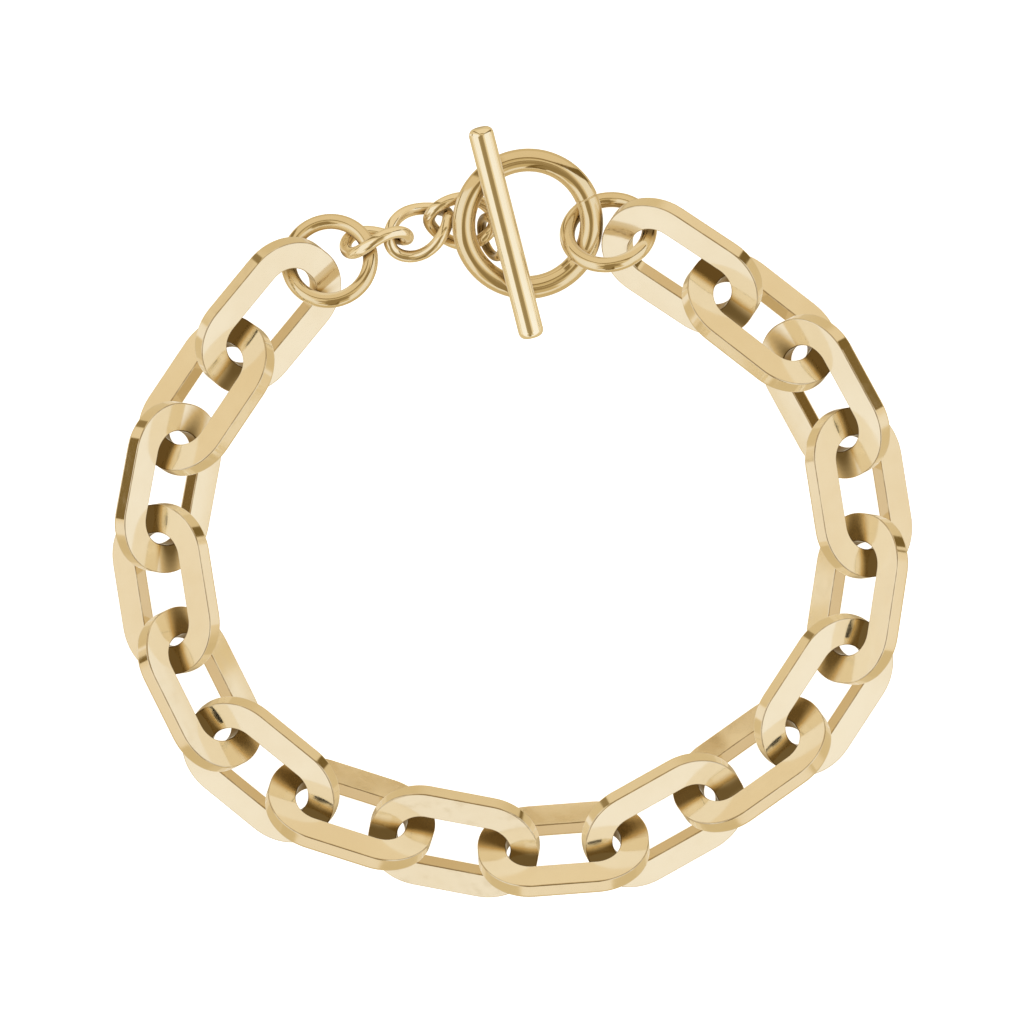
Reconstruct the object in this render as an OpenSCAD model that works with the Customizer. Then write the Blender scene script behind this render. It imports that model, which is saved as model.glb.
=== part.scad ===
// A link bracelet laid down in a closed loop. Heavy oblong links lean about half way over, each
// the other way from its neighbour, and a toggle bar on three small twisted links lies across
// the toggle ring. Two round jump rings join the clasp to the heavy links.
// Millimetres, +Z up, origin on the surface under the middle of the whole outline.

/* [Heavy links] */
// Length of a heavy link over its two ends
link_len = 16.3; // [15.4:0.1:17.6]
// Width of a heavy link over its two long sides
link_w = 10.8; // [10.6:0.1:11.6]
// Width of the flat face of its bar
face_w = 2.7; // [2.3:0.1:2.8]
// Thickness of its bar between the two flat faces
bar_t = 1.7; // [1.3:0.1:1.9]
// Radius of its outer corners
corner_r = 5.1; // [4.2:0.1:5.2]
// Bevel along all its edges
bevel = 0.15; // [0.1:0.05:0.3]
// Mean play between two hooked heavy links
link_play = 1.15; // [0.9:0.05:1.3]

/* [Jump rings] */
// Outer diameter of a jump ring
jump_d = 9.3; // [8.8:0.1:10]
// Wire of a jump ring
jump_wire = 1.45; // [1.2:0.05:1.55]

/* [Toggle ring] */
// Outer diameter of the toggle ring
toggle_d = 14.4; // [13.8:0.1:15.4]
// Wire of the toggle ring
toggle_wire = 2.2; // [1.9:0.1:2.3]
// Tilt of the toggle ring and its bar
toggle_tilt = 9; // [8:0.5:10]

/* [Toggle bar] */
// Length of the toggle bar
bar_len = 20.8; // [18:0.1:24]
// Diameter of the toggle bar
bar_d = 2.4; // [2:0.1:2.6]
// Rounding of the bar's two ends
bar_round = 0.7; // [0.3:0.1:0.9]
// Outer diameter of the eye under the bar
eye_d = 4.8; // [4.6:0.1:5.2]
// Wire of the eye
eye_wire = 0.9; // [0.7:0.1:1]
// Depth to which the eye is soldered into the bar
solder = 0.3; // [0.2:0.05:0.4]
// Gap between the bar and the ring that it lies on
rest_gap = 0.15; // [0.1:0.05:0.3]

/* [Small links] */
// Length of a small link
small_len = 7.4; // [7.2:0.1:7.8]
// Width of a small link before its twist
small_w = 5.6; // [5.4:0.1:5.9]
// Wire of a small link
small_wire = 1.15; // [0.9:0.05:1.2]
// Twist of a small link from one end to the other
small_twist = 70; // [66:1:74]

/* [Hidden] */
round_steps = 96;

// Route of the heavy links from the left jump ring round to the right one. Columns: bearing of
// the link, bearing of the line to the next link, share of the mean play that is open there, and
// how far the link leans over from lying flat.
AIM = 0;
LINE = 1;
OPEN = 2;
LEAN = 3;
link_route = [
    [-129.5, -127, 1.1, 37],
    [-124, -113.5, 1.3, 42],
    [-100.5, -90.5, 1.05, 42],
    [-81, -72, 0.75, 39.5],
    [-63.5, -52, 1.15, 44.5],
    [-39, -27, 1.25, 36.5],
    [-17.5, -14, 0.6, 44.5],
    [-10.5, -4.5, 0.4, 36.5],
    [4.5, 17, 0.85, 45],
    [29.5, 32, 0.85, 37],
    [35.5, 45, 1.25, 44.5],
    [57, 70, 1.1, 36.5],
    [81.5, 90, 0.7, 44.5],
    [99, 108.5, 1.05, 39.5],
    [118.5, 131.5, 1.3, 42],
    [142, 144, 1.6, 42],
    [146.5, 144, 1, 39.5]
];
link_count = len(link_route);

// Route of the small links from the left jump ring to the eye. Columns: bearing, pitch and roll
// of the link, then bearing, climb and share of the inner reaches of the line that leads to it.
PITCH = 1;
ROLL = 2;
FROM = 3;
small_route = [
    [9, 20, -80, [24.5, -1.5, 0.85]],
    [32.5, -7, -20, [12.5, -11, 0.835]],
    [-1.5, 6, 10, [12, -2.5, 0.81]]
];
eye_from = [-27.5, 20, 0.85];
small_count = len(small_route);

// Lines that lead from ring to ring: bearing, climb, share of the two inner reaches
right_ring_from = [-6, -1, 0.94];
// Where a jump ring's middle lies past a heavy link's: along it and to its low side, as shares
left_seat = [0.89, 0.47];
right_seat = [0.885, 0.45];

// The bar's place across the toggle ring, as shares of the ring's inner reach, and its bearing
bar_seat = [-0.46, -0.105];
bar_bearing = 104.5;
// The eye's place along the bar, as a share of half its length, and how far the eye leans out
eye_seat = -0.047;
eye_lean = 21.5;
// Tilt of each jump ring and bearing of the line that it tilts about
left_tilt = [-18.5, 22.5];
right_tilt = [-38.5, 10];
// Height of the toggle ring's middle, as a share of the height of a heavy link that leans half
// way over, and the bearing of the ring's high side
toggle_rise = 0.8;
half_way = 45;
high_side = 128;

link_inner = link_len / 2 - face_w;
jump_inner = jump_d / 2 - jump_wire;
toggle_inner = toggle_d / 2 - toggle_wire;
small_inner = small_len / 2 - small_wire;
eye_inner = eye_d / 2 - eye_wire;

// Where the two routes lead, worked out from the toggle ring
function aim(bearing, climb = 0) =
    [cos(bearing) * cos(climb), sin(bearing) * cos(climb), sin(climb)];
function left_of(bearing) = aim(bearing + 90);
function step(from, reach_a, reach_b) = from[2] * (reach_a + reach_b) * aim(from[0], from[1]);
function tilted(v) =
    let (axle = aim(high_side - 90))
    v * cos(toggle_tilt) + cross(axle, v) * sin(toggle_tilt)
    + axle * (axle * v) * (1 - cos(toggle_tilt));
function total(list) = [for (item = list) 1] * list;
// Height of a leaning link's middle, at which the lower edge of its bevel lies on the surface
function leaning_height(lean) = max(
    (link_w / 2 - bevel) * sin(lean) + bar_t / 2 * cos(lean),
    link_w / 2 * sin(lean) + (bar_t / 2 - bevel) * cos(lean)
);

toggle_at = [0, 0, toggle_rise * leaning_height(half_way)];
bar_local = [
    bar_seat.x * toggle_inner,
    bar_seat.y * toggle_inner,
    (toggle_wire + bar_d) / 2 + rest_gap
];
eye_drop = (bar_d + eye_d) / 2 - solder;
eye_slide = eye_seat * bar_len / 2;
eye_local = bar_local + eye_slide * aim(bar_bearing)
    + eye_drop * (sin(eye_lean) * left_of(bar_bearing) - cos(eye_lean) * [0, 0, 1]);
eye_at = toggle_at + tilted(eye_local);
small_3_at = eye_at - step(eye_from, small_inner, eye_inner);
small_2_at = small_3_at - step(small_route[2][FROM], small_inner, small_inner);
small_1_at = small_2_at - step(small_route[1][FROM], small_inner, small_inner);
small_at = [small_1_at, small_2_at, small_3_at];
left_ring_at = small_1_at - step(small_route[0][FROM], jump_inner, small_inner);
right_ring_at = toggle_at + step(right_ring_from, toggle_inner, jump_inner);

// A seat's offset from a heavy link's middle towards the jump ring at that end
function seat(share, bearing, end) =
    end * share.x * (link_inner + jump_inner) * aim(bearing)
    + share.y * (link_w / 2 - face_w) * left_of(bearing);
function flat(v) = [v.x, v.y];
first_at = flat(left_ring_at - seat(left_seat, link_route[0][AIM], -1));
last_at = flat(right_ring_at - seat(right_seat, link_route[link_count - 1][AIM], 1));

// The loop is closed by turning every line a little: turn is how far a line along X and one
// along Y are turned, and the two are found by a few steps of a straight-line estimate
function turned(bearing, turn) = bearing + turn * [cos(bearing), sin(bearing)];
function line_length(i) = 2 * link_inner - link_play * link_route[i][OPEN];
function line(i, turn) = line_length(i) * flat(aim(turned(link_route[i][LINE], turn)));
function swing(i, turn) =
    let (
        bearing = link_route[i][LINE],
        side = PI / 180 * [-line(i, turn).y, line(i, turn).x]
    )
    [side.x * cos(bearing), side.x * sin(bearing), side.y * cos(bearing), side.y * sin(bearing)];
function closing_turn(turn = [0, 0], steps_left = 5) =
    steps_left == 0 ? turn :
    let (
        lines = [for (i = [0 : link_count - 2]) line(i, turn)],
        swings = total([for (i = [0 : link_count - 2]) swing(i, turn)]),
        miss = last_at - first_at - total(lines),
        divisor = swings[0] * swings[3] - swings[1] * swings[2],
        change = [swings[3] * miss.x - swings[1] * miss.y, swings[0] * miss.y - swings[2] * miss.x]
    )
    closing_turn(turn + change / divisor, steps_left - 1);

turn = closing_turn();
function link_at(i) = i == 0 ? first_at : link_at(i - 1) + line(i - 1, turn);
function link_bearing(i) =
    i == 0 || i == link_count - 1 ? link_route[i][AIM] : turned(link_route[i][AIM], turn);
function link_lean(i) = link_route[i][LEAN];
function link_roll(i) = i % 2 == 0 ? -link_lean(i) : link_lean(i);

// Half the outline's extent of a heavy link and of the bar along a level direction
function link_extent(i, way) =
    let (
        along = abs(way * flat(aim(link_bearing(i)))),
        across = abs(way * flat(left_of(link_bearing(i)))),
        wide = across * cos(link_lean(i)),
        thick = across * sin(link_lean(i)),
        corner = norm([along, wide])
    )
    (link_len / 2 - corner_r) * along + (link_w / 2 - corner_r) * wide
    + max((corner_r - bevel) * corner + bar_t / 2 * thick, corner_r * corner + (bar_t / 2 - bevel) * thick);
bar_at = toggle_at + tilted(bar_local);
bar_rise = tilted(aim(bar_bearing)).y;
bar_top = bar_at.y + (bar_len / 2 - bar_round) * bar_rise
    + (bar_d / 2 - bar_round) * sqrt(1 - bar_rise * bar_rise) + bar_round;
outline_right = max([for (i = [0 : link_count - 1]) link_at(i).x + link_extent(i, [1, 0])]);
outline_left = min([for (i = [0 : link_count - 1]) link_at(i).x - link_extent(i, [1, 0])]);
outline_front = min([for (i = [0 : link_count - 1]) link_at(i).y - link_extent(i, [0, 1])]);
middle = [(outline_right + outline_left) / 2, (bar_top + outline_front) / 2, 0];

// Names
function link_name(i) = str("link_", i < 9 ? "0" : "", i + 1);
function small_name(i) = str("small_link_", i + 1);

// Heavy link: a bevelled flat bar led round a rounded oblong
module bar_section() {
    u = face_w / 2;
    v = bar_t / 2;
    polygon([
        [u - bevel, v], [u, v - bevel], [u, bevel - v], [u - bevel, -v],
        [bevel - u, -v], [-u, bevel - v], [-u, v - bevel], [bevel - u, v]
    ]);
}
module quarter_bend() {
    rotate_extrude(angle = 90, $fn = round_steps)
        translate([corner_r - face_w / 2, 0])
            bar_section();
}
module straight_bar(length) {
    rotate([90, 0, 90])
        linear_extrude(length, center = true)
            bar_section();
}
module heavy_link() {
    side = link_len - 2 * corner_r;
    end = link_w - 2 * corner_r;
    for (quarter = [0 : 3]) {
        x = quarter == 0 || quarter == 3 ? side / 2 : -side / 2;
        y = quarter < 2 ? end / 2 : -end / 2;
        translate([x, y, 0])
            rotate([0, 0, 90 * quarter])
                quarter_bend();
    }
    for (way = [-1, 1]) {
        translate([0, way * (link_w - face_w) / 2, 0])
            straight_bar(side);
        translate([way * (link_len - face_w) / 2, 0, 0])
            rotate([0, 0, 90])
                straight_bar(end);
    }
}
module link(i) {
    color("khaki")
        translate([link_at(i).x, link_at(i).y, leaning_height(link_lean(i))] - middle)
            rotate([0, 0, link_bearing(i)])
                rotate([link_roll(i), 0, 0])
                    heavy_link();
}

// Round rings
module round_ring(outer_d, wire) {
    rotate_extrude($fn = round_steps)
        translate([(outer_d - wire) / 2, 0])
            circle(d = wire, $fn = round_steps / 2);
}
module jump_ring(at, tilt) {
    color("goldenrod")
        translate(at - middle)
            rotate(tilt[0], aim(tilt[1]))
                round_ring(jump_d, jump_wire);
}
module toggle_ring() {
    color("gold")
        translate(toggle_at - middle)
            rotate(toggle_tilt, aim(high_side - 90))
                round_ring(toggle_d, toggle_wire);
}

// Toggle bar with its eye, one soldered piece
function end_arc(steps = 6) = [
    for (i = [0 : steps])
        [bar_d / 2 - bar_round * (1 - cos(90 * i / steps)), bar_len / 2 - bar_round * (1 - sin(90 * i / steps))]
];
module bar_outline() {
    arc = end_arc();
    last = len(arc) - 1;
    polygon(concat(
        arc,
        [[0, bar_len / 2], [0, -bar_len / 2]],
        [for (i = [last : -1 : 0]) [arc[i].x, -arc[i].y]]
    ));
}
module toggle_bar() {
    color("gold")
        translate(toggle_at - middle)
            rotate(toggle_tilt, aim(high_side - 90))
                translate(bar_local)
                    rotate([0, 0, bar_bearing]) {
                        rotate([0, 90, 0])
                            rotate_extrude($fn = round_steps)
                                bar_outline();
                        rotate([eye_lean, 0, 0])
                            translate([eye_slide, 0, -eye_drop])
                                rotate([90, 0, 0])
                                    round_ring(eye_d, eye_wire);
                    }
}

// Small link: a round wire led round an oval whose two ends are turned against each other
SWEEP_STEPS = 16;
WIRE_SIDES = 6;
function oval_turn(u) = -small_twist * cos(u) / 2;
function oval_point(u) =
    let (across = (small_w - small_wire) / 2 * sin(u))
    [(small_len - small_wire) / 2 * cos(u), across * cos(oval_turn(u)), across * sin(oval_turn(u))];
function straight(v) = v / norm(v);
function oval_ring(u) =
    let (
        ahead = straight(oval_point(u + 1) - oval_point(u - 1)),
        out = straight(cross(ahead, [0, -sin(oval_turn(u)), cos(oval_turn(u))])),
        up = cross(out, ahead)
    )
    [for (k = [0 : WIRE_SIDES - 1])
        let (angle = 360 * k / WIRE_SIDES)
        oval_point(u) + small_wire / 2 * (cos(angle) * out + sin(angle) * up)];
module small_link_body() {
    rings = [for (i = [0 : SWEEP_STEPS - 1]) oval_ring(360 * i / SWEEP_STEPS)];
    points = [for (ring = rings) each ring];
    faces = [for (i = [0 : SWEEP_STEPS - 1], k = [0 : WIRE_SIDES - 1])
        let (
            a = i * WIRE_SIDES,
            b = (i + 1) % SWEEP_STEPS * WIRE_SIDES,
            next = (k + 1) % WIRE_SIDES
        )
        each [[a + k, b + next, b + k], [a + k, a + next, b + next]]];
    polyhedron(points, faces);
}
module small_link(i) {
    color("goldenrod")
        translate(small_at[i] - middle)
            rotate([0, 0, small_route[i][AIM]])
                rotate([0, -small_route[i][PITCH], 0])
                    rotate([small_route[i][ROLL], 0, 0])
                        small_link_body();
}

for (i = [0 : link_count - 1]) {
    link(i);
}
for (i = [0 : small_count - 1]) {
    small_link(i);
}
jump_ring(left_ring_at, left_tilt);  // jump_ring_left
jump_ring(right_ring_at, right_tilt);  // jump_ring_right
toggle_ring();
toggle_bar();
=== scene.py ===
# Looks of a polished link bracelet with a toggle clasp, lying on a pale table in soft studio light.
import bpy
import numpy as np
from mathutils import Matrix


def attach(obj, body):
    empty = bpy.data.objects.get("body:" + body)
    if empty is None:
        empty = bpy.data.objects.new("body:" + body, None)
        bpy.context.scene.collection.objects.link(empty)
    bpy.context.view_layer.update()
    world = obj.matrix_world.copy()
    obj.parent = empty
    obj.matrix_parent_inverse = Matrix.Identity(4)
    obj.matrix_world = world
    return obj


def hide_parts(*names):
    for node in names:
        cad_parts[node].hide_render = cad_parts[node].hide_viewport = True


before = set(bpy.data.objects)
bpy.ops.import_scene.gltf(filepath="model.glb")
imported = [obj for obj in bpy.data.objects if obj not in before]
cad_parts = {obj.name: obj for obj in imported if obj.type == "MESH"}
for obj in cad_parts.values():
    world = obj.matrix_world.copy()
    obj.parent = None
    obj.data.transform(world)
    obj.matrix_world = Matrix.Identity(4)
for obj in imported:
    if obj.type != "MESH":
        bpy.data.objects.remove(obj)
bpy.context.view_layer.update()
mm = 0.001
print("frame loaded:", len(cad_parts), "solids")


def unit(v):
    return v / np.linalg.norm(v, axis=-1, keepdims=True)


# Reading a piece's place off its solid

def solidPoints(nodeName):
    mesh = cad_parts[nodeName].data
    points = np.zeros(len(mesh.vertices) * 3)
    mesh.vertices.foreach_get("co", points)
    corners = np.zeros(len(mesh.polygons) * 3, int)
    mesh.polygons.foreach_get("vertices", corners)
    return points.reshape(-1, 3), corners.reshape(-1, 3)


def placeOf(nodeName):
    # The middle is the area-weighted mean of the surface. The axes are those of its second moments,
    # where a triangle gives area / 12 times the sum of p p over its corners and of s s for their sum s.
    points, corners = solidPoints(nodeName)
    tri = points[corners]
    area = np.linalg.norm(np.cross(tri[:, 1] - tri[:, 0], tri[:, 2] - tri[:, 0]), axis=1) / 2
    middle = (area[:, None] * tri.mean(axis=1)).sum(axis=0) / area.sum()
    tri = tri - middle
    total = tri.sum(axis=1)
    moments = np.einsum("t,tki,tkj->ij", area, tri, tri) + np.einsum("t,ti,tj->ij", area, total, total)
    axes = np.linalg.eigh(moments)[1].T[::-1]
    if np.linalg.det(axes) < 0:
        axes[2] = -axes[2]
    return middle, axes


# Making meshes from whole grids of points

surfaces = {}  # each piece's points and normals, and what share and what least of contact shade they take


def gridObject(name, points, normals, around, paintedEdgeShade=None, shade=None):
    # points and normals have the shape (along, across, 3). The grid closes on itself across, and along
    # too where around is true; else each end is closed by one point at the middle of its row. The painted
    # edge shade is one value a point, and shade two, a share and a least value of painted contact shade.
    rows, columns = points.shape[:2]
    i, j = np.meshgrid(np.arange(rows if around else rows - 1), np.arange(columns), indexing="ij")
    nextRow = (i + 1) % rows
    nextColumn = (j + 1) % columns
    quads = np.stack([
        i * columns + j, i * columns + nextColumn, nextRow * columns + nextColumn, nextRow * columns + j
    ], axis=-1).reshape(-1, 4)
    faces = quads.tolist()
    flatPoints = points.reshape(-1, 3)
    flatNormals = normals.reshape(-1, 3)
    flatWear = np.zeros(len(flatPoints)) if paintedEdgeShade is None else paintedEdgeShade.reshape(-1)
    flatShade = np.tile([1.0, 0.0], (rows * columns, 1)) if shade is None else shade.reshape(-1, 2)
    if not around:
        ring = np.arange(columns)
        first, last = len(flatPoints), len(flatPoints) + 1
        lastRow = (rows - 1) * columns
        nextRing = (ring + 1) % columns
        faces += np.stack([np.full(columns, first), nextRing, ring], axis=1).tolist()
        faces += np.stack([np.full(columns, last), lastRow + ring, lastRow + nextRing], axis=1).tolist()
        ends = np.array([points[0].mean(axis=0), points[-1].mean(axis=0)])
        flatPoints = np.vstack([flatPoints, ends])
        flatNormals = np.vstack([flatNormals, unit(np.array([ends[0] - ends[1], ends[1] - ends[0]]))])
        flatWear = np.append(flatWear, [0, 0])
        flatShade = np.vstack([flatShade, [[1, 0], [1, 0]]])
    mesh = bpy.data.meshes.new(name)
    mesh.from_pydata(flatPoints.tolist(), [], faces)
    # the painted edge shade, a thin dark line along the crisp edges, kept on the mesh
    mesh.attributes.new("paintedEdgeShade", "FLOAT", "POINT").data.foreach_set("value", flatWear.astype(np.float32))
    mesh.polygons.foreach_set("use_smooth", np.ones(len(faces), bool))
    mesh.update()
    mesh.normals_split_custom_set_from_vertices(unit(flatNormals).tolist())
    surfaces[name] = (flatPoints, unit(flatNormals), flatShade)
    return meshObject(name, mesh)


def meshObject(name, mesh):
    piece = bpy.data.objects.new(name, mesh)
    bpy.context.scene.collection.objects.link(piece)
    return piece


def sweep(centres, outs, ups, profile, profileNormals):
    # A profile carried along a path: point = centre + x out + y up, and the normal likewise.
    x, y = profile[:, 0], profile[:, 1]
    nx, ny = profileNormals[:, 0], profileNormals[:, 1]
    points = centres[:, None] + x[None, :, None] * outs[:, None] + y[None, :, None] * ups[:, None]
    normals = nx[None, :, None] * outs[:, None] + ny[None, :, None] * ups[:, None]
    return points, normals


def evenLine(line, spacing):
    # A closed line's points again, at even steps of about the spacing
    loop = np.vstack([line, line[:1]])
    way = np.concatenate([[0], np.cumsum(np.linalg.norm(np.diff(loop, axis=0), axis=1))])
    steps = np.linspace(0, way[-1], int(round(way[-1] / spacing)) + 1)[:-1]
    return np.column_stack([np.interp(steps, way, loop[:, axis]) for axis in range(3)])


def circleProfile(radius, sides):
    # x = radius cos a, y = radius sin a, run clockwise as barProfile is, so that faces point outwards
    a = -np.linspace(0, 2 * np.pi, sides, endpoint=False)
    normals = np.column_stack([np.cos(a), np.sin(a)])
    return radius * normals, normals


def finishPiece(piece, nodeName, material):
    piece.data.materials.append(material)
    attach(piece, "root")
    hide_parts(nodeName)


# Contact shade: how far other pieces' metal closes a point in

contact = {
    "reach": 6.0 * mm,
    "spacing": 0.4 * mm,
    "overlap": 1.5,
}
middleLines = {}  # each node's middle line as (points, radius, how dark it makes a neighbour)


def shadeContacts(values):
    # A neighbour is a row of balls along its middle line. One ball of radius r at distance d, an angle
    # a off the normal, closes the point by cos(a) cubed times (r / d) squared. The row's balls overlap,
    # so each counts for spacing / (overlap r) of itself.
    for pieceName, (points, normals, shade) in surfaces.items():
        closed = np.zeros(len(points))
        low = points.min(axis=0) - values["reach"]
        high = points.max(axis=0) + values["reach"]
        for nodeName, (line, radius, weight) in middleLines.items():
            near = line[((line > low) & (line < high)).all(axis=1)]
            if pieceName == "polished_" + nodeName or not len(near):
                continue
            ways = near[None] - points[:, None]
            distance = np.linalg.norm(ways, axis=2)
            facing = np.clip((ways * normals[:, None]).sum(axis=2) / distance, 0, 1)
            share = facing**3 * (radius / np.maximum(distance, radius)) ** 2
            share = share * (distance < values["reach"])
            closed += share.sum(axis=1) * weight * values["spacing"] / (values["overlap"] * radius)
        attribute = bpy.data.objects[pieceName].data.attributes.new("closed", "FLOAT", "POINT")
        attribute.data.foreach_set("value", (closed * shade[:, 0] + shade[:, 1]).astype(np.float32))


# Nodes, in any tree. An input takes another node's output or a plain value; a plain colour has three
# numbers.

def setInput(tree, socket, value):
    if isinstance(value, bpy.types.NodeSocket):
        tree.links.new(value, socket)
    elif socket.type == "RGBA":
        socket.default_value = (*value, 1)
    else:
        socket.default_value = value


def addNode(tree, kind, settings=None, **inputs):
    node = tree.nodes.new(kind)
    for key, value in (settings or {}).items():
        setattr(node, key, value)
    for key, value in inputs.items():
        setInput(tree, node.inputs[key], value)
    return node


def mapRange(tree, source, low, high, toLow=0.0, toHigh=1.0):
    # A smooth step, from toLow where the source is low to toHigh where it is high
    ends = {"From Min": low, "From Max": high, "To Min": toLow, "To Max": toHigh}
    node = addNode(tree, "ShaderNodeMapRange", {"interpolation_type": "SMOOTHSTEP"}, Value=source, **ends)
    return node.outputs["Result"]


def math(tree, operation, a, b=None):
    node = addNode(tree, "ShaderNodeMath", {"operation": operation})
    setInput(tree, node.inputs[0], a)
    if b is not None:
        setInput(tree, node.inputs[1], b)
    return node.outputs[0]


def mixValues(tree, share, under, over):
    node = addNode(tree, "ShaderNodeMix", {"data_type": "FLOAT"})
    for index, value in ((0, share), (2, under), (3, over)):
        setInput(tree, node.inputs[index], value)
    return node.outputs[0]


def mixColours(tree, share, under, over, blend="MIX"):
    node = addNode(tree, "ShaderNodeMix", {"data_type": "RGBA", "blend_type": blend})
    for index, value in ((0, share), (6, under), (7, over)):
        setInput(tree, node.inputs[index], value)
    return node.outputs[2]


# Shared effects, as groups that give masks and heights

def newGroup(name, inputs, outputs):
    group = bpy.data.node_groups.new(name, "ShaderNodeTree")
    for socketName, kind in inputs.items():
        group.interface.new_socket(socketName, in_out="INPUT", socket_type="NodeSocket" + kind)
    for socketName in outputs:
        group.interface.new_socket(socketName, in_out="OUTPUT", socket_type="NodeSocketFloat")
    return group, group.nodes.new("NodeGroupInput"), group.nodes.new("NodeGroupOutput")


polishing = {
    "turns": (0.5, 2.1),  # the two ways that the lines run, in radians about Z
    "tip": (0.35, 0.2),  # how far both tip about X and Y
    "stretch": 14.0,
    "noise": {"Detail": 2.0, "Roughness": 0.55},
    "crests": (0.2, 0.42),
}


def hairlineGroup(values):
    # Fine polishing lines: two noises, each stretched far along its own way, whose product is thinned
    # to its narrow crests
    inputs = {"Vector": "Vector", "Scale": "Float", "Depth": "Float"}
    group, start, end = newGroup("polishing lines", inputs, ["Mask", "Height"])
    place, scale = start.outputs["Vector"], start.outputs["Scale"]
    noises = []
    for turn in values["turns"]:
        mapping = addNode(
            group, "ShaderNodeMapping", {"vector_type": "TEXTURE"},
            Vector=place, Rotation=(*values["tip"], turn), Scale=(values["stretch"], 1.0, 1.0)
        )
        stretched = mapping.outputs["Vector"]
        noise = addNode(group, "ShaderNodeTexNoise", Vector=stretched, Scale=scale, **values["noise"])
        noises.append(noise.outputs["Fac"])
    lines = math(group, "MULTIPLY", *noises)
    group.links.new(mapRange(group, lines, *values["crests"]), end.inputs["Mask"])
    group.links.new(math(group, "MULTIPLY", lines, start.outputs["Depth"]), end.inputs["Height"])
    return group


toneDrift = {
    "wide": {"Detail": 3.0, "Roughness": 0.5},
    "fine": {"Detail": 2.0, "Roughness": 0.6},
    "finer": 6.0,  # the fine noise's scale over the wide one's
    "wideShare": 0.75,
    "fineShare": 0.25,
    "range": (0.35, 0.65),
}


def toneGroup(values):
    # Slow drift of tone over the plating, from a wide noise and a finer one
    group, start, end = newGroup("plating tone", {"Vector": "Vector", "Scale": "Float"}, ["Mask"])
    place, scale = start.outputs["Vector"], start.outputs["Scale"]
    wide = addNode(group, "ShaderNodeTexNoise", Vector=place, Scale=scale, **values["wide"])
    fineScale = math(group, "MULTIPLY", scale, values["finer"])
    fine = addNode(group, "ShaderNodeTexNoise", Vector=place, Scale=fineScale, **values["fine"])
    wideShare = math(group, "MULTIPLY", wide.outputs["Fac"], values["wideShare"])
    fineShare = math(group, "MULTIPLY", fine.outputs["Fac"], values["fineShare"])
    both = math(group, "ADD", wideShare, fineShare)
    group.links.new(mapRange(group, both, *values["range"]), end.inputs["Mask"])
    return group


edgeBreaks = {
    "noise": {"Scale": 700.0, "Detail": 3.0},
    "range": (0.3, 0.6),
    "strengths": (0.35, 1.0),
}


def edgeShadeGroup(values):
    # The painted edge shade, a thin dark line along the crisp edges: the mesh's own value for it, made
    # uneven by noise
    group, start, end = newGroup("edge line", {"Vector": "Vector", "Wear": "Float"}, ["Mask"])
    noise = addNode(group, "ShaderNodeTexNoise", Vector=start.outputs["Vector"], **values["noise"])
    strength = mapRange(group, noise.outputs["Fac"], *values["range"], *values["strengths"])
    group.links.new(math(group, "MULTIPLY", strength, start.outputs["Wear"]), end.inputs["Mask"])
    return group


# The last group gives the painted edge shade, a thin dark line along the crisp edges
shared = {"lines": hairlineGroup(polishing), "tone": toneGroup(toneDrift), "paintedEdgeShade": edgeShadeGroup(edgeBreaks)}


def useGroup(tree, name, **inputs):
    return addNode(tree, "ShaderNodeGroup", {"node_tree": shared[name]}, **inputs)


def platedGold(name, values):
    # Polished plating: the tone drifts between two golds, the crisp edges carry a thin darker line of
    # painted shade, and fine polishing lines roughen it
    material = bpy.data.materials.new(name)
    material.use_nodes = True
    tree = material.node_tree
    shader = tree.nodes["Principled BSDF"]
    shader.inputs["Metallic"].default_value = 1.0
    place = addNode(tree, "ShaderNodeTexCoord").outputs["Object"]
    # the painted edge shade kept on the mesh
    edgeShadeValue = addNode(tree, "ShaderNodeAttribute", {"attribute_name": "paintedEdgeShade"}).outputs["Fac"]
    tone = useGroup(tree, "tone", Vector=place, Scale=values["toneScale"]).outputs["Mask"]
    lines = useGroup(tree, "lines", Vector=place, Scale=values["lineScale"], Depth=values["lineDepth"])
    edges = useGroup(tree, "paintedEdgeShade", Vector=place, Wear=edgeShadeValue).outputs["Mask"]

    plain = mixColours(tree, tone, values["goldDeep"], values["gold"])
    # The painted edge shade: a thin dark line mixed into the gold along the crisp edges
    edged = mixColours(tree, math(tree, "MULTIPLY", edges, values["edgeShare"]), plain, values["edgeShadeColour"])
    # Painted contact shade: where a neighbour closes the metal in, the colour deepens through amber to a
    # dark brown
    closed = addNode(tree, "ShaderNodeAttribute", {"attribute_name": "closed"}).outputs["Fac"]
    paintedShade = addNode(tree, "ShaderNodeValToRGB", Fac=mapRange(tree, closed, *values["contactShadeRange"]))
    paintedShade.color_ramp.elements[0].color = (1, 1, 1, 1)
    paintedShade.color_ramp.elements[1].color = (*values["contactShadeDark"], 1)
    paintedShade.color_ramp.elements.new(values["shadeAmberPlace"]).color = (*values["contactShadeAmber"], 1)
    shaded = mixColours(tree, values["contactShadeShare"], edged, paintedShade.outputs["Color"], "MULTIPLY")
    # Painted reflection: what one piece shows in another is painted paler, so that the gold doesn't redden
    # at each turn
    mirrored = addNode(tree, "ShaderNodeLightPath").outputs["Is Glossy Ray"]
    setInput(tree, shader.inputs["Base Color"], mixColours(tree, mirrored, shaded, values["mirroredGold"]))

    uneven = math(tree, "ADD", math(tree, "MULTIPLY", tone, values["toneRough"]), lines.outputs["Mask"])
    rough = mapRange(tree, uneven, 0.0, 1.0 + values["toneRough"], *values["roughness"])
    edgeRough = math(tree, "MULTIPLY", edges, values["edgeRough"])
    setInput(tree, shader.inputs["Roughness"], math(tree, "ADD", rough, edgeRough))
    bump = addNode(tree, "ShaderNodeBump", Strength=values["bump"], Distance=values["bumpDepth"])
    setInput(tree, bump.inputs["Height"], lines.outputs["Height"])
    setInput(tree, shader.inputs["Normal"], bump.outputs["Normal"])
    return material


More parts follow.
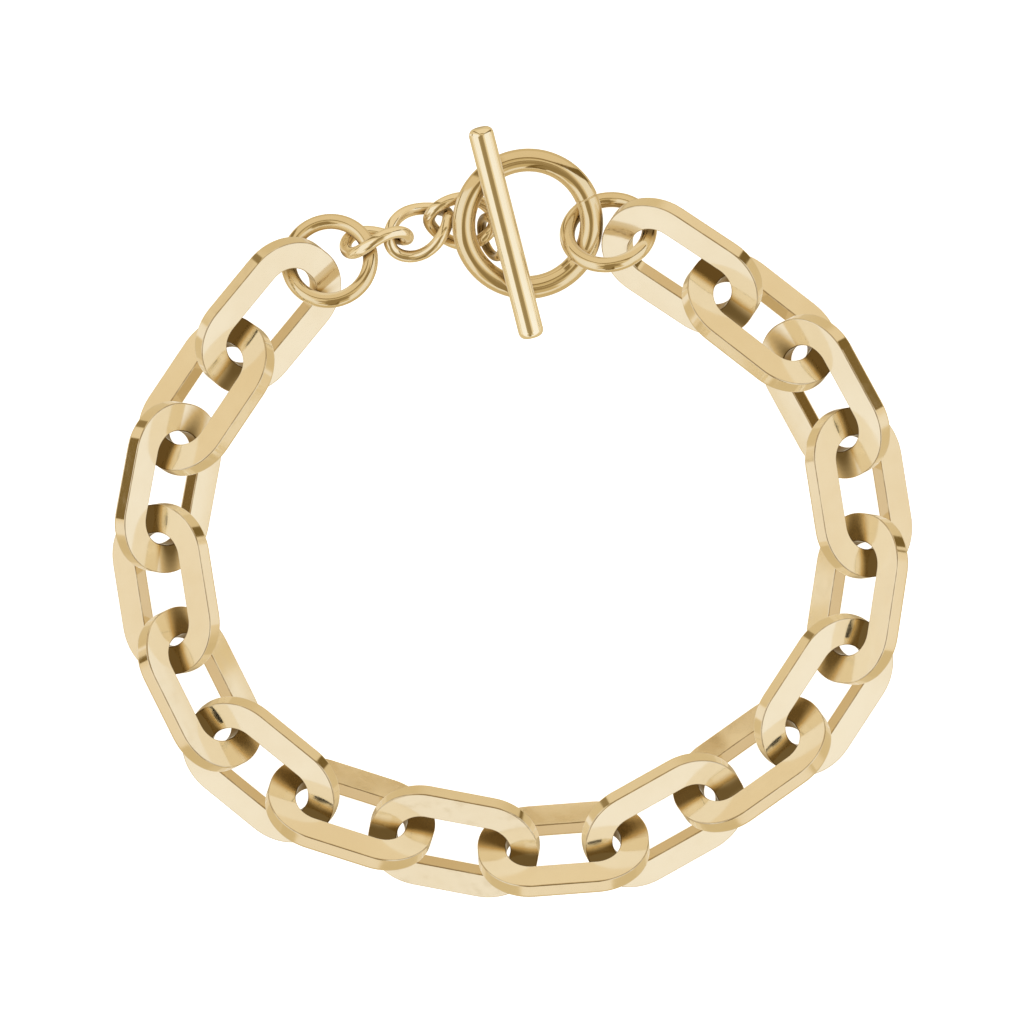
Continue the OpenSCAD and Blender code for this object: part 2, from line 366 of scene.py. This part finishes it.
goldFinish = {
    "gold": (0.86, 0.74, 0.50),
    "goldDeep": (0.83, 0.70, 0.455),
    # the colour of the painted dark line of shade along the crisp edges
    "edgeShadeColour": (0.34, 0.23, 0.10),
    "edgeShare": 0.65,
    # the painted contact shade: its amber and dark colours, and how much and over what closeness it deepens
    "contactShadeAmber": (0.66, 0.52, 0.3),
    "shadeAmberPlace": 0.45,
    "contactShadeDark": (0.16, 0.11, 0.044),
    "contactShadeShare": 1.0,
    "contactShadeRange": (0.12, 0.265),
    # the paler gold painted into what other pieces' reflections show
    "mirroredGold": (0.99, 0.98, 0.94),
    "roughness": (0.08, 0.13),
    "toneRough": 0.5,
    "edgeRough": 0.05,
    "toneScale": 90.0,
    "lineScale": 900.0,
    "lineDepth": 1.0,
    "bump": 0.12,
    "bumpDepth": 0.02 * mm,
}
linkGold = platedGold("polished gold plate, heavy links", goldFinish)
wireFinish = {
    **goldFinish,
    "gold": (0.84, 0.70, 0.43),
    "goldDeep": (0.80, 0.655, 0.38),
    "mirroredGold": (0.8, 0.73, 0.6),
    "contactShadeRange": (0.1, 0.38),
    "contactShadeShare": 0.9,
}
smallFinish = {
    **wireFinish,
    "gold": (0.88, 0.75, 0.49),
    "goldDeep": (0.84, 0.70, 0.43),
    "contactShadeRange": (0.11, 0.45),
}
smallGold = platedGold("polished gold plate, small links", smallFinish)
ringFinish = {**wireFinish, "gold": (0.79, 0.65, 0.39), "goldDeep": (0.755, 0.61, 0.35)}
ringGold = platedGold("polished gold plate, rings", ringFinish)
barFinish = {
    **goldFinish,
    "gold": (0.92, 0.81, 0.56),
    "goldDeep": (0.89, 0.77, 0.51),
    "contactShadeRange": (0.15, 0.45),
    "contactShadeShare": 0.9,
}
barGold = platedGold("polished gold plate, toggle bar", barFinish)
print("materials ready")


# Heavy links

linkShape = {
    "length": 16.3 * mm,
    "width": 10.8 * mm,
    "face": 2.7 * mm,
    "thickness": 1.7 * mm,
    "cornerRadius": 5.1 * mm,
    "faceEdge": 0.13 * mm,
    "backEdge": 0.38 * mm,
    "bendSteps": 24,
    "straightSteps": 9,
    "edgeSteps": 5,
    "flatSteps": (3, 3, 3, 8),  # on the outer wall, the back, the inner wall and the face
    "innerBendShade": 0.8,  # the share of contact shade on the inner walls of the bends
    "innerWallShade": 0.165,  # the even shade of the straight inner walls
    "shadeFade": 1.2 * mm,
    "shadeRadius": 1.05 * mm,
    "shadeWeight": 1.0,
}


def barProfile(shape):
    # A flat bar's section: quarter circles at the corners of a rectangle, run round clockwise, with
    # a few points across each flat. The two corners of the upper face are crisp, the back's are eased.
    # The crest is how strong the painted edge shade is: most at the middle of a crisp corner, 0 elsewhere.
    turns = []
    for k, (x, y) in enumerate([(1, 1), (1, -1), (-1, -1), (-1, 1)]):
        radius = shape["faceEdge"] if y > 0 else shape["backEdge"]
        a = np.linspace(np.pi / 2, 0, shape["edgeSteps"]) - k * np.pi / 2
        normals = np.column_stack([np.cos(a), np.sin(a)])
        corner = np.array([x * (shape["face"] / 2 - radius), y * (shape["thickness"] / 2 - radius)])
        crest = np.sin(np.linspace(0, np.pi, shape["edgeSteps"])) * (y > 0)
        turns.append((corner + radius * normals, normals, crest))
    sections = []
    for k, (points, normals, crest) in enumerate(turns):
        count = shape["flatSteps"][k]
        share = np.linspace(0, 1, count + 2)[1:-1, None]
        flat = points[-1] * (1 - share) + turns[(k + 1) % 4][0][0] * share
        sections += [(points, normals, crest), (flat, np.tile(normals[-1], (count, 1)), np.zeros(count))]
    return [np.concatenate(parts) for parts in zip(*sections)]


def oblongPath(shape):
    # The bar's middle line: four quarter circles of radius r about the corners of the inner box, and
    # straight runs between them along the two long sides
    r = shape["cornerRadius"] - shape["face"] / 2
    x = shape["length"] / 2 - shape["cornerRadius"]
    y = shape["width"] / 2 - shape["cornerRadius"]
    centres, outs = [], []
    for k, (cornerX, cornerY) in enumerate([(x, y), (-x, y), (-x, -y), (x, -y)]):
        a = np.linspace(0, np.pi / 2, shape["bendSteps"]) + k * np.pi / 2
        out = np.column_stack([np.cos(a), np.sin(a)])
        centres.append([cornerX, cornerY] + r * out)
        outs.append(out)
        if k % 2 == 0:
            run = np.linspace(cornerX, -cornerX, shape["straightSteps"] + 2)[1:-1]
            centres.append(np.column_stack([run, np.full(len(run), cornerY)]) + r * out[-1])
            outs.append(np.tile(out[-1], (len(run), 1)))
    return np.concatenate(centres), np.concatenate(outs)


def heavyLink(nodeName, shape):
    middle, axes = placeOf(nodeName)
    if axes[2, 2] < 0:
        axes = axes * [[1], [-1], [-1]]
    path, outs = oblongPath(shape)
    profile, profileNormals, paintedEdgeShade = barProfile(shape)
    centres = middle + path @ axes[:2]
    line = evenLine(centres, contact["spacing"])
    middleLines[nodeName] = (line, shape["shadeRadius"], shape["shadeWeight"])
    ups = np.tile(axes[2], (len(path), 1))
    points, normals = sweep(centres, outs @ axes[:2], ups, profile, profileNormals)
    # The straight inner walls mirror each other and stay light but for an even painted shade, and those of
    # the bends take their share of the painted contact shade
    inner = np.clip(-profileNormals[:, 0], 0, 1) ** 2
    pastStraight = np.abs(path[:, 0]) - shape["length"] / 2 + shape["cornerRadius"]
    bend = np.clip(pastStraight / shape["shadeFade"], 0, 1)
    share = 1 - inner * (1 - shape["innerBendShade"] * bend[:, None])
    shade = np.stack([share, shape["innerWallShade"] * inner * (1 - bend[:, None])], axis=-1)
    # the painted edge shade along each crisp edge
    paintedEdgeShade = np.tile(paintedEdgeShade, (len(path), 1))
    piece = gridObject("polished_" + nodeName, points, normals, True, paintedEdgeShade, shade)
    finishPiece(piece, nodeName, linkGold)


for nodeName in sorted(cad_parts):
    if nodeName.startswith("link_"):
        heavyLink(nodeName, linkShape)
print("heavy links made")


# Round rings, each with its closed saw cut

toggleRingShape = {
    "outer": 14.4 * mm,
    "wire": 2.2 * mm,
    "cutBearing": 23.5,
    "cutWidth": 0.05 * mm,
    "cutDepth": 0.07 * mm,
    "cutReach": 3,  # how many cut widths the close stations reach to each side of it
    "cutSteps": 13,
    "steps": 162,
    "sides": 40,
    "shadeWeight": 0.5,
}
jumpRingShape = {**toggleRingShape, "outer": 9.3 * mm, "wire": 1.45 * mm, "cutDepth": 0.06 * mm}
ringShapes = {
    "toggle_ring": toggleRingShape,
    "jump_ring_left": {**jumpRingShape, "cutBearing": 162.0},
    "jump_ring_right": {**jumpRingShape, "cutBearing": 28.0},
}


def roundRing(nodeName, shape):
    # A circle carried round a circle. Stations crowd round the cut, where the wire narrows by
    # depth times exp(-(arc / width) squared), arc being the way along the wire from the cut.
    middle, axes = placeOf(nodeName)
    bearing = np.radians(shape["cutBearing"])
    start = np.array([np.cos(bearing), np.sin(bearing), 0])
    start = unit(start - (start @ axes[2]) * axes[2])
    side = np.cross(axes[2], start)
    radius = (shape["outer"] - shape["wire"]) / 2
    fine = np.linspace(-shape["cutReach"], shape["cutReach"], shape["cutSteps"]) * shape["cutWidth"] / radius
    u = np.concatenate([fine, np.linspace(fine[-1], 2 * np.pi + fine[0], shape["steps"])[1:-1]])
    outs = np.cos(u)[:, None] * start + np.sin(u)[:, None] * side
    arc = radius * np.where(u > np.pi, u - 2 * np.pi, u)
    cut = np.exp(-((arc / shape["cutWidth"]) ** 2))
    share = 1 - cut * shape["cutDepth"] / (shape["wire"] / 2)
    profile, profileNormals = circleProfile(shape["wire"] / 2, shape["sides"])
    ups = np.tile(axes[2], (len(u), 1))
    offsets, normals = sweep(np.zeros((len(u), 3)), outs, ups, profile, profileNormals)
    points = middle + radius * outs[:, None] + offsets * share[:, None, None]
    slope = 2 * arc / shape["cutWidth"] ** 2 * cut * shape["cutDepth"]
    along = np.cross(axes[2], outs)
    normals = normals - slope[:, None, None] * along[:, None]
    line = evenLine(middle + radius * outs, contact["spacing"])
    middleLines[nodeName] = (line, shape["wire"] / 2, shape["shadeWeight"])
    piece = gridObject("polished_" + nodeName, points, normals, True)
    finishPiece(piece, nodeName, ringGold)


for nodeName, shape in ringShapes.items():
    roundRing(nodeName, shape)
print("rings made")


# Toggle bar and its soldered eye

barShape = {
    "length": 20.8 * mm,
    "diameter": 2.4 * mm,
    "rounding": 0.7 * mm,
    "eyeOuter": 4.8 * mm,
    "eyeWire": 0.9 * mm,
    "endReach": 0.3 * mm,  # points this near to an end of the solid tell where its middle is
    "eyeTop": 0.02 * mm,  # and those this near to the eye's furthest point tell where the eye is
    "passes": 4,
    "endRings": (0.25, 0.9, 3),  # the flat end's first ring, its last and how many, by its radius
    "endSteps": 12,
    "sides": 72,
    "eyeSteps": 96,
    "eyeSides": 28,
    "shadeWeight": 0.7,
}


def barPlace(nodeName, shape):
    # The bar's axis runs through the middles of its two ends, found again from a better axis each time.
    # The eye is what reaches furthest from the axis.
    points = solidPoints(nodeName)[0]
    middle, axes = placeOf(nodeName)
    axis = axes[0]
    near = shape["endReach"]
    for _ in range(shape["passes"]):
        along = (points - middle) @ axis
        ends = [points[along > along.max() - near], points[along < along.min() + near]]
        low, high = (end.min(axis=0) / 2 + end.max(axis=0) / 2 for end in ends)
        middle = (low + high) / 2
        axis = unit(high - low)
    away = points - middle
    away = away - (away @ axis)[:, None] * axis
    reach = np.linalg.norm(away, axis=1)
    far = reach > reach.max() - shape["eyeTop"]
    eyeWay = unit(away[far].mean(axis=0))
    return middle, axis, eyeWay, reach.max(), ((points[far] - middle) @ axis).mean()


def toggleBar(nodeName, shape):
    middle, axis, eyeWay, eyeReach, eyeSlide = barPlace(nodeName, shape)
    side = np.cross(axis, eyeWay)
    half = shape["length"] / 2
    # The bar: a half outline turned about its axis, with a quarter circle at each end
    a = np.linspace(0, np.pi / 2, shape["endSteps"])
    r = shape["rounding"]
    flat = shape["diameter"] / 2 - r
    rings = np.linspace(*shape["endRings"]) * flat
    endRadius = np.concatenate([rings, flat + r * np.sin(a)])
    endPlace = np.concatenate([np.full(len(rings), half), half - r + r * np.cos(a)])
    endNormal = np.vstack([np.tile([1.0, 0.0], (len(rings), 1)), np.column_stack([np.cos(a), np.sin(a)])])
    radii = np.concatenate([endRadius, endRadius[::-1]])
    places = np.concatenate([endPlace, -endPlace[::-1]])
    normalAlong = np.concatenate([endNormal[:, 0], -endNormal[::-1, 0]])
    normalOut = np.concatenate([endNormal[:, 1], endNormal[::-1, 1]])
    turn = np.linspace(0, 2 * np.pi, shape["sides"], endpoint=False)
    spokes = np.cos(turn)[:, None] * side + np.sin(turn)[:, None] * eyeWay
    points = middle + places[:, None, None] * axis + radii[:, None, None] * spokes
    normals = normalAlong[:, None, None] * axis + normalOut[:, None, None] * spokes
    bar = gridObject("polished_" + nodeName, points, normals, False)
    run = np.arange(-half + contact["spacing"], half, contact["spacing"])
    middleLines[nodeName] = (middle + run[:, None] * axis, shape["diameter"] / 2, shape["shadeWeight"])
    # The eye: a circle carried round a circle that stands along the bar
    eyeRadius = (shape["eyeOuter"] - shape["eyeWire"]) / 2
    eyeMiddle = middle + eyeSlide * axis + (eyeReach - shape["eyeOuter"] / 2) * eyeWay
    u = np.linspace(0, 2 * np.pi, shape["eyeSteps"], endpoint=False)
    outs = np.cos(u)[:, None] * axis + np.sin(u)[:, None] * eyeWay
    ups = np.tile(np.cross(axis, eyeWay), (len(u), 1))
    profile, profileNormals = circleProfile(shape["eyeWire"] / 2, shape["eyeSides"])
    points, normals = sweep(eyeMiddle + eyeRadius * outs, outs, ups, profile, profileNormals)
    eye = gridObject("polished_toggle_eye", points, normals, True)
    finishPiece(bar, nodeName, barGold)
    finishPiece(eye, nodeName, ringGold)


toggleBar("toggle_bar", barShape)
print("toggle bar made")


# Small twisted links

smallShape = {
    "length": 7.4 * mm,
    "width": 5.6 * mm,
    "wire": 1.15 * mm,
    "twist": 70.0,
    "steps": 132,
    "sides": 28,
    "shadeWeight": 0.9,
}


def twistedLink(nodeName, shape):
    # Middle line: x = a cos u, and b sin u across, turned about x by minus half the twist times cos u
    middle, axes = placeOf(nodeName)
    u = np.linspace(0, 2 * np.pi, shape["steps"], endpoint=False)
    turn = -np.radians(shape["twist"]) * np.cos(u) / 2
    across = (shape["width"] - shape["wire"]) / 2 * np.sin(u)
    line = np.column_stack([
        (shape["length"] - shape["wire"]) / 2 * np.cos(u), across * np.cos(turn), across * np.sin(turn)
    ])
    ahead = unit(np.roll(line, -1, axis=0) - np.roll(line, 1, axis=0))
    flatWay = np.column_stack([np.zeros_like(u), -np.sin(turn), np.cos(turn)])
    outs = unit(np.cross(ahead, flatWay))
    ups = np.cross(outs, ahead)
    profile, profileNormals = circleProfile(shape["wire"] / 2, shape["sides"])
    points, normals = sweep(middle + line @ axes, outs @ axes, ups @ axes, profile, profileNormals)
    row = evenLine(middle + line @ axes, contact["spacing"])
    middleLines[nodeName] = (row, shape["wire"] / 2, shape["shadeWeight"])
    piece = gridObject("polished_" + nodeName, points, normals, True)
    finishPiece(piece, nodeName, smallGold)


for nodeName in sorted(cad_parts):
    if nodeName.startswith("small_link_"):
        twistedLink(nodeName, smallShape)
shadeContacts(contact)
print("small links made and contacts shaded")


# Table, light and camera

studio = {
    "tableSize": 1.6,
    "tableWhite": 0.86,
    "tableRoughness": 0.9,
    "tableSpecular": 0.1,
    "tableGlow": 0.9,  # for the camera only
    "room": 0.95,
    # What one piece shows in another is a plain room, brighter overhead than low down
    "roomSeenTwice": {"mirrors": 1.5, "heights": (-0.1, 0.75), "bright": (0.92, 1.12)},
    "backdrop": (1.0, 1.0, 1.0),
    # Each panel of the room: bearing and half width, lowest and highest angle over the table, all in
    # degrees, then how soft its edges are and how bright it is. A later panel covers an earlier one.
    "panels": {
        "back wall": (95, 70, -90, 90, 6, 0.97),
        "left softbox": (198, 42, -3, 62, 5, 1.27),
        "right softbox": (340, 50, -3, 62, 5, 1.27),
        "front softbox": (262, 60, 2, 22, 3, 1.25),
        "front edge": (270, 110, -4, 2, 2, 1.07),
        "left gap over the box": (189, 7, 8, 14, 1, 1.08),
        "right gap over the box": (9, 7, 8, 14, 1, 1.08),
        "table": (0, 180, -90, -17, 8, 0.78),
        "table in front": (270, 60, -40, -4, 2, 0.74),
        "under the piece": (0, 180, -90, -62, 10, 0.52),
        "left table glow": (192, 12, -16, -8, 2, 1.13),
        "right table glow": (6, 12, -16, -8, 2, 1.13),
        "left low flag": (168, 13, -11, -3, 1.5, 0.19),
        "left low softbox": (170, 9, -60, -17, 4, 1.15),
        "right flag": (36, 7, -32, 62, 2, 0.17),
        "right flag foot": (31, 9, -11, -3, 1.5, 0.19),
        "left flag": (134, 5, -32, 62, 2, 0.3),
        "front above": (270, 30, 22, 60, 6, 0.72),
        "camera flag": (271, 9, 5, 90, 3, 0.18),
        "ceiling, back": (84, 58, 59, 71, 5, 0.33),
        "ceiling, middle": (84, 58, 71, 90, 6, 0.76),
        "ceiling, front": (262, 44, 51, 90, 8, 0.37),
        "ceiling, right": (325, 25, 71, 90, 6, 0.38),
    },
    # The dark gap overhead, where the camera stands: its reach in x, y and z of a direction
    "gap": {"x": (-0.28, 0.09), "y": (-1.0, 0.09), "z": (0.3, 1.1), "soft": 0.06, "bright": 0.33},
    # What a brightness looks like: the brighter, the cooler
    "tints": {
        0.0: (0.02, 0.01, 0.0),
        0.2: (0.242, 0.167, 0.061),
        0.77: (0.762, 0.644, 0.437),
        0.98: (0.92, 0.82, 0.667),
        1.27: (1.05, 1.07, 1.17),
    },
}


def makeTable(values):
    half = values["tableSize"] / 2
    mesh = bpy.data.meshes.new("table")
    corners = [(-half, -half, 0), (half, -half, 0), (half, half, 0), (-half, half, 0)]
    mesh.from_pydata(corners, [], [(0, 1, 2, 3)])
    table = meshObject("table", mesh)
    table.visible_glossy = False  # the metal mirrors the room's own table instead
    material = bpy.data.materials.new("pale table")
    material.use_nodes = True
    tree = material.node_tree
    shader = tree.nodes["Principled BSDF"]
    shader.inputs["Base Color"].default_value = (values["tableWhite"],) * 3 + (1,)
    shader.inputs["Roughness"].default_value = values["tableRoughness"]
    shader.inputs["Specular IOR Level"].default_value = values["tableSpecular"]
    shader.inputs["Emission Color"].default_value = (1, 1, 1, 1)
    seen = addNode(tree, "ShaderNodeLightPath").outputs["Is Camera Ray"]
    setInput(tree, shader.inputs["Emission Strength"], math(tree, "MULTIPLY", seen, values["tableGlow"]))
    mesh.materials.append(material)


def rising(tree, source, edge, soft):
    # 0 under the edge and 1 over it, over a soft width about it
    return mapRange(tree, source, edge - soft / 2, edge + soft / 2)


def falling(tree, source, edge, soft):
    return mapRange(tree, source, edge - soft / 2, edge + soft / 2, 1.0, 0.0)


def panelMask(tree, bearing, rise, panel):
    # 1 on the panel: the product of its lower and upper edges and, if it has them, of its two sides
    middle, halfWidth, low, high, soft = panel
    mask = math(tree, "MULTIPLY", rising(tree, rise, low, soft), falling(tree, rise, high, soft))
    if halfWidth < 180:
        turn = math(tree, "COSINE", math(tree, "SUBTRACT", bearing, np.radians(middle)))
        away = math(tree, "MULTIPLY", math(tree, "ARCCOSINE", turn), 180 / np.pi)
        mask = math(tree, "MULTIPLY", mask, falling(tree, away, halfWidth, soft))
    return mask


def gapMask(tree, direction, gap):
    mask = 1.0
    for axis, socket in zip("xyz", direction):
        low, high = gap[axis]
        mask = math(tree, "MULTIPLY", mapRange(tree, socket, low, low + gap["soft"]), mask)
        mask = math(tree, "MULTIPLY", mapRange(tree, socket, high - gap["soft"], high, 1.0, 0.0), mask)
    return mask


def makeLight(values):
    # A white room of soft panels with dark gaps between them, worked out from the direction of the light
    world = bpy.data.worlds.new("studio")
    bpy.context.scene.world = world
    world.use_nodes = True
    tree = world.node_tree
    direction = addNode(tree, "ShaderNodeTexCoord").outputs["Generated"]
    x, y, z = addNode(tree, "ShaderNodeSeparateXYZ", Vector=direction).outputs
    bearing = math(tree, "ARCTAN2", y, x)
    rise = math(tree, "MULTIPLY", math(tree, "ARCSINE", z), 180 / np.pi)
    level = values["room"]
    for *panel, bright in values["panels"].values():
        level = mixValues(tree, panelMask(tree, bearing, rise, panel), level, bright)
    level = mixValues(tree, gapMask(tree, (x, y, z), values["gap"]), level, values["gap"]["bright"])
    path = addNode(tree, "ShaderNodeLightPath")
    twice = values["roomSeenTwice"]
    mirroredTwice = math(tree, "GREATER_THAN", path.outputs["Glossy Depth"], twice["mirrors"])
    level = mixValues(tree, mirroredTwice, level, mapRange(tree, z, *twice["heights"], *twice["bright"]))
    steps = sorted(values["tints"].items())
    brightest = steps[-1][0]
    tints = addNode(tree, "ShaderNodeValToRGB", Fac=math(tree, "DIVIDE", level, brightest))
    ramp = tints.color_ramp.elements
    while len(ramp) < len(steps):
        ramp.new(0.5)  # its place is set below
    for element, (step, tint) in zip(ramp, steps):
        element.position = step / brightest
        element.color = (*tint, 1)
    seen = mixColours(tree, path.outputs["Is Camera Ray"], tints.outputs["Color"], values["backdrop"])
    setInput(tree, tree.nodes["Background"].inputs["Color"], seen)


view = {
    "pictureWidth": 97.28 * mm,
    "middle": (-0.03 * mm, -0.03 * mm),
    "height": 0.4,
    "reach": (0.01, 10.0),
}


def makeCamera(values):
    camera = bpy.data.cameras.new("camera")
    camera.type = "ORTHO"
    camera.ortho_scale = values["pictureWidth"]
    camera.clip_start, camera.clip_end = values["reach"]
    holder = bpy.data.objects.new("camera", camera)
    holder.location = (*values["middle"], values["height"])
    bpy.context.scene.collection.objects.link(holder)
    bpy.context.scene.camera = holder


makeTable(studio)
makeLight(studio)
makeCamera(view)
bpy.context.scene.view_settings.view_transform = "Standard"
print("table, light and camera ready")
